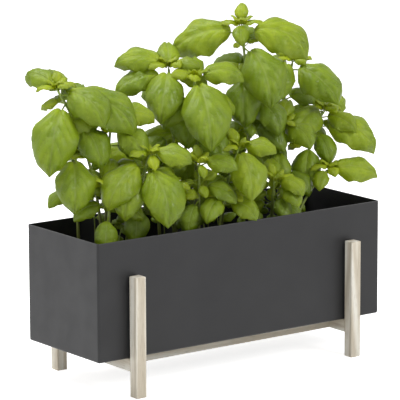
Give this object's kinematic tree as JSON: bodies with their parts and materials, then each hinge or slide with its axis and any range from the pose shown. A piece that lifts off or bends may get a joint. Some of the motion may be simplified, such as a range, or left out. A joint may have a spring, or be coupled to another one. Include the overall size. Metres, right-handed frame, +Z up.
{
  "type": "indoor herb planter",
  "caption": "Open sheet-steel trough that lifts out of a square-legged wooden stand and holds nursery pots of basil, each of which lifts out; grows herbs indoors.",
  "frame": {"origin": "middle of the object's footprint, on the plane that the feet stand on", "axes": "+X along the trough to the right as seen from the front, +Y from the front to the back, +Z up"},
  "size_m": [0.5007, 0.1999, 0.4554],
  "materials": {
    "powder_coated_steel": "fine matte powder coat",
    "whitewashed_ash": "matte, whitewashed, grain along each strip",
    "dowel_beech": "bare",
    "pot_plastic": "thin moulded nursery pot",
    "compost": "crumbly, moist",
    "basil_stem": "soft, ridged",
    "basil_leaf": "satin, puckered between the veins, lets light through"
  },
  "bodies": {
    "stand": {"leg_front_left": "whitewashed_ash", "leg_back_left": "whitewashed_ash", "leg_front_right": "whitewashed_ash", "leg_back_right": "whitewashed_ash", "cross_rail_left": "whitewashed_ash", "cross_rail_right": "whitewashed_ash", "stretcher_front": "whitewashed_ash", "stretcher_back": "whitewashed_ash", "leg_dowels": "dowel_beech", "stretcher_dowels": "dowel_beech"},
    "trough": {"trough": "powder_coated_steel"},
    "pot_left": {"nursery_pot_left": "pot_plastic", "root_ball_left": "compost", "basil_stems_left": "basil_stem", "basil_leaves_left": "basil_leaf"},
    "pot_middle": {"nursery_pot_middle": "pot_plastic", "root_ball_middle": "compost", "basil_stems_middle": "basil_stem", "basil_leaves_middle": "basil_leaf"},
    "pot_right": {"nursery_pot_right": "pot_plastic", "root_ball_right": "compost", "basil_stems_right": "basil_stem", "basil_leaves_right": "basil_leaf"}
  },
  "joints": [
    {"name": "trough_lift", "type": "slide", "parent": "stand", "child": "trough", "axis": [0, 0, 1], "range_m": [0, 0.12]},
    {"name": "pot_lift_left", "type": "slide", "parent": "trough", "child": "pot_left", "axis": [0, 0, 1], "range_m": [0, 0.16]},
    {"name": "pot_lift_middle", "type": "slide", "parent": "trough", "child": "pot_middle", "axis": [0, 0, 1], "range_m": [0, 0.16]},
    {"name": "pot_lift_right", "type": "slide", "parent": "trough", "child": "pot_right", "axis": [0, 0, 1], "range_m": [0, 0.16]}
  ]
}
